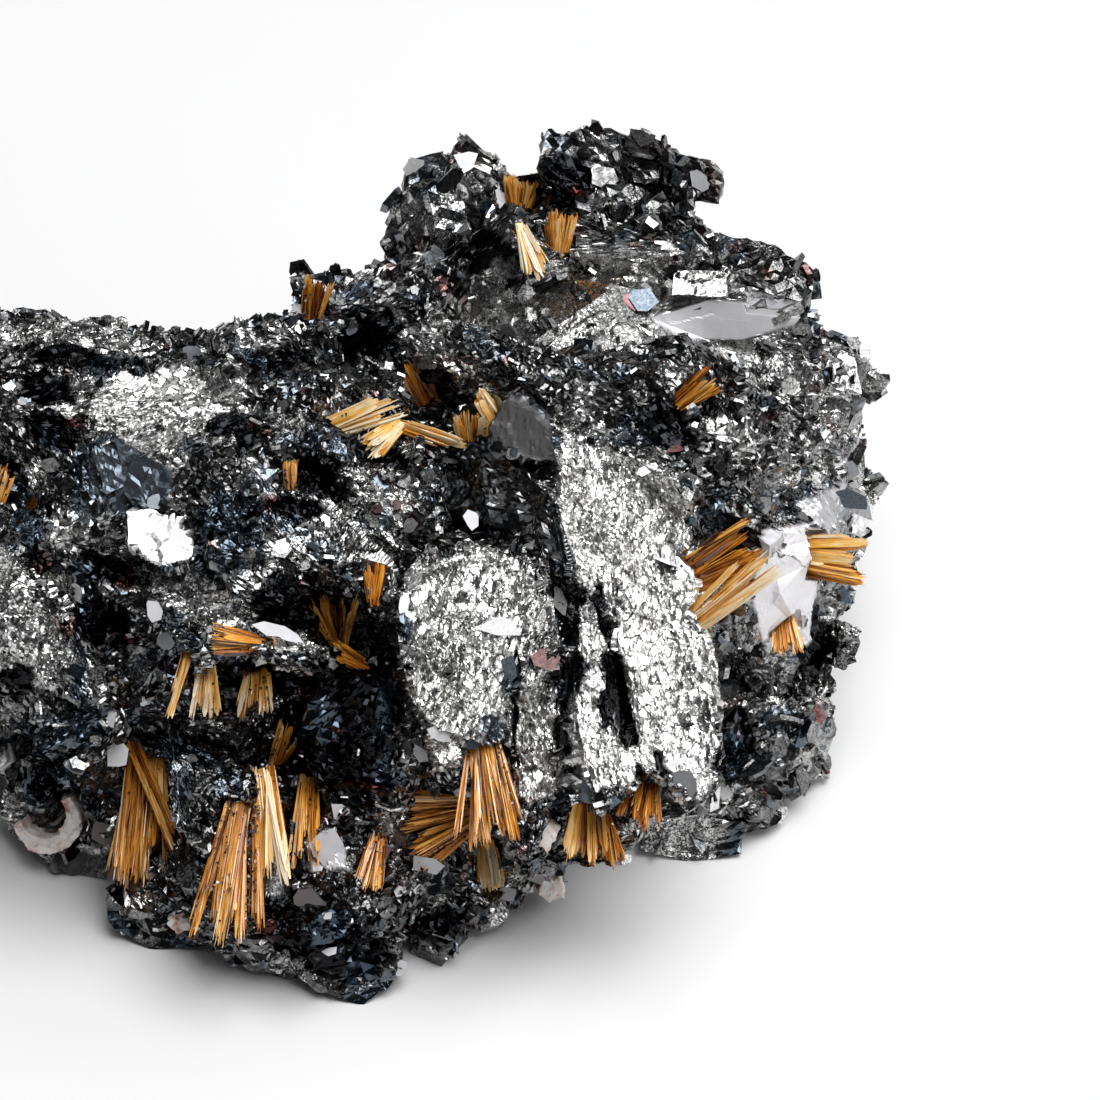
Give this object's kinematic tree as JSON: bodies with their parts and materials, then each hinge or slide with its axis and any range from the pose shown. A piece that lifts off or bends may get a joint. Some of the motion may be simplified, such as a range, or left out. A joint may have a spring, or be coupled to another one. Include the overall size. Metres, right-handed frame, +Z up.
{
  "type": "mineral specimen of rutile on hematite",
  "caption": "Hand-size rock of intergrown black metallic hematite plates, with flat sheaves of golden rutile needles and a little pinkish feldspar, resting on a flat cut.",
  "frame": {"origin": "centre of the footprint, on the surface that the specimen rests on", "axes": "+Z up, -Y towards the specimen's best side, +X to its right as it is seen from there"},
  "size_m": [0.0551, 0.0486, 0.0276],
  "materials": {
    "hematite": "black metallic crystal, from matt crust to mirror-bright speckled faces",
    "rutile": "silky golden to orange-brown needles, adamantine gloss",
    "feldspar": "pinkish white, cleaved, half gloss"
  },
  "bodies": {
    "root": {"feldspar_chip": "feldspar", "feldspar_crescent": "feldspar", "feldspar_pink_block": "feldspar", "feldspar_white_block": "feldspar", "hematite_mass": "hematite", "rutile_back_fan": "rutile", "rutile_back_gold_sheaf": "rutile", "rutile_back_hanging_sheaf": "rutile", "rutile_back_left_fan": "rutile", "rutile_back_left_sheaf": "rutile", "rutile_back_low_fan": "rutile", "rutile_back_right_sheaf": "rutile", "rutile_cavity_blade": "rutile", "rutile_cavity_comb": "rutile", "rutile_cavity_long_blade": "rutile", "rutile_cavity_pale_fan": "rutile", "rutile_cavity_strands": "rutile", "rutile_crest_brown_sheaf": "rutile", "rutile_crown_gold_sheaf": "rutile", "rutile_facet_blade": "rutile", "rutile_front_dull_sheaf": "rutile", "rutile_front_great_sheaf": "rutile", "rutile_front_pale_sheaf": "rutile", "rutile_front_upright_tuft": "rutile", "rutile_hollow_gold_tuft": "rutile", "rutile_hollow_needles": "rutile", "rutile_hollow_pale_tuft": "rutile", "rutile_ledge_blade": "rutile", "rutile_ledge_fan": "rutile", "rutile_left_cross_needles": "rutile", "rutile_left_edge_tuft": "rutile", "rutile_left_end_sheaf": "rutile", "rutile_left_end_tuft": "rutile", "rutile_left_great_sheaf": "rutile", "rutile_lip_brown_bundle": "rutile", "rutile_lip_fan": "rutile", "rutile_middle_great_sheaf": "rutile", "rutile_middle_peach_tuft": "rutile", "rutile_middle_spray": "rutile", "rutile_middle_tuft": "rutile", "rutile_right_brown_bundle": "rutile", "rutile_right_gold_tuft": "rutile", "rutile_right_pale_bundle": "rutile", "rutile_right_peach_tile": "rutile", "rutile_shoulder_orange_tuft": "rutile", "rutile_wall_dull_sheaf": "rutile", "rutile_wall_great_fan": "rutile"}
  },
  "joints": []
}
